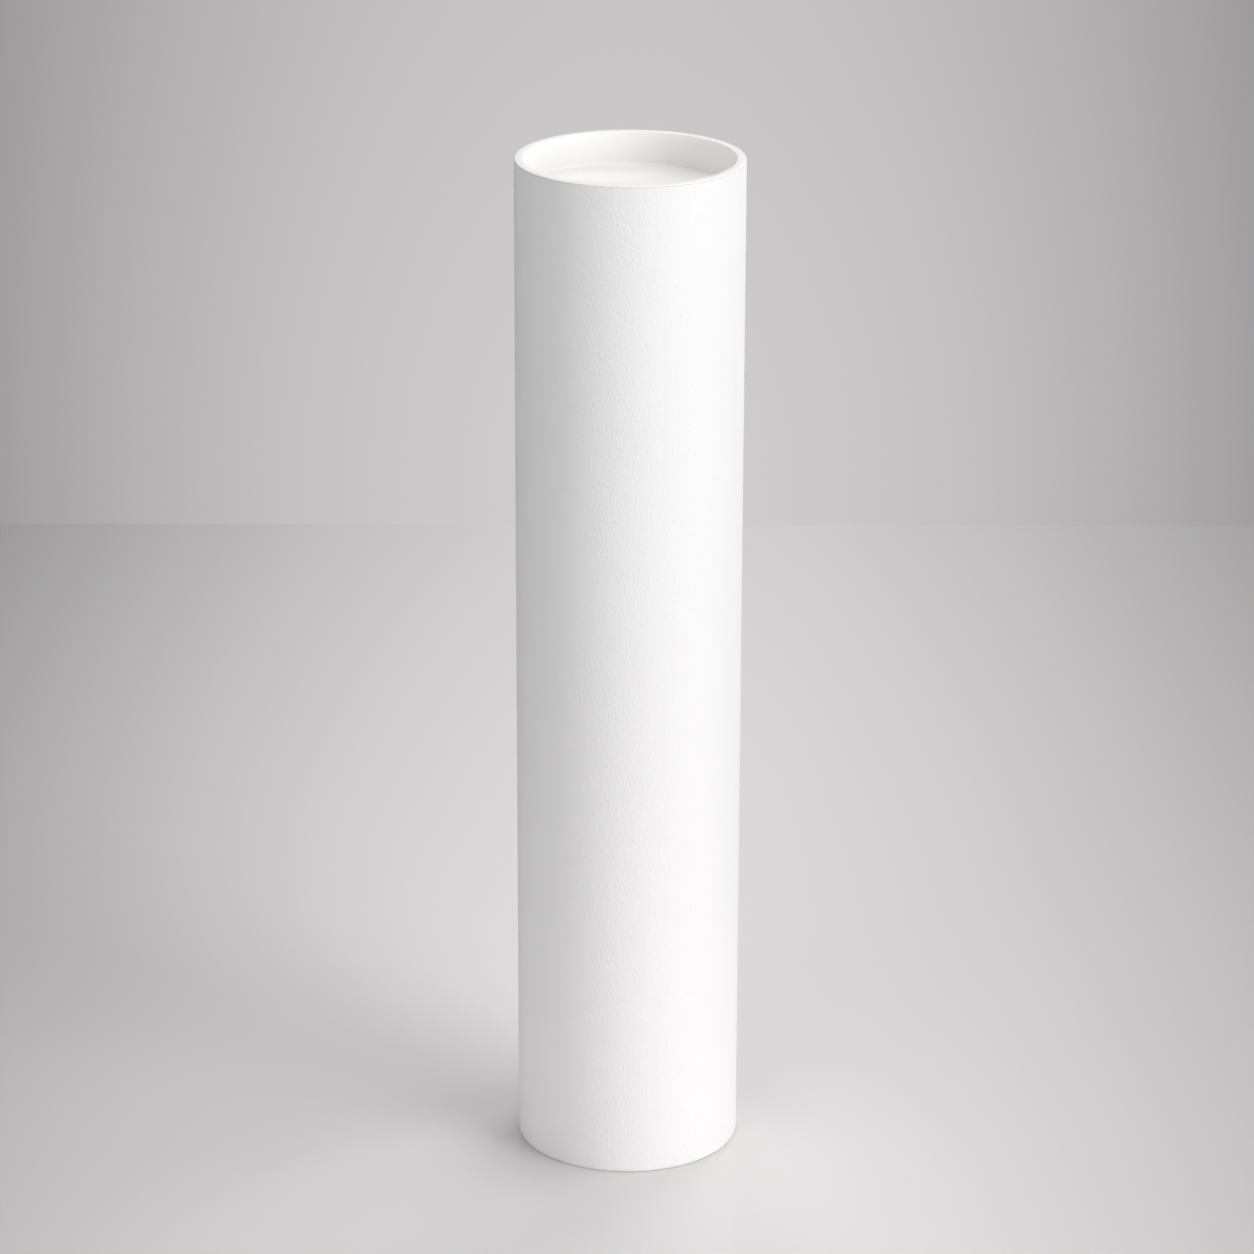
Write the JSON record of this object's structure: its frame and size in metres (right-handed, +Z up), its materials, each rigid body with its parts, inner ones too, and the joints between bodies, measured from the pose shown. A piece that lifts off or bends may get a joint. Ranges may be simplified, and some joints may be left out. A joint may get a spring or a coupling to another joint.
{
  "type": "cardboard mailing tube",
  "caption": "Straight round mailing tube of wound white board, closed at each end by a white push-in plug with a thin flange and a sunken flat floor; the plugs pull out.",
  "frame": {"origin": "centre of the base, on the face that the tube stands on", "axes": "+Z up along the tube's axis, towards the upper plug; X and Y across it, all directions alike"},
  "size_m": [0.06, 0.06, 0.275],
  "materials": {
    "white_board": "matte",
    "white_plastic": "satin"
  },
  "bodies": {
    "bottom_cap": {"bottom_cap": "white_plastic"},
    "tube": {"tube": "white_board"},
    "top_cap": {"top_cap": "white_plastic"}
  },
  "joints": [
    {"name": "bottom_cap_pull", "type": "slide", "parent": "bottom_cap", "child": "tube", "axis": [0, 0, 1], "range_m": [0, 0.04]},
    {"name": "top_cap_pull", "type": "slide", "parent": "tube", "child": "top_cap", "axis": [0, 0, 1], "range_m": [0, 0.04]}
  ]
}
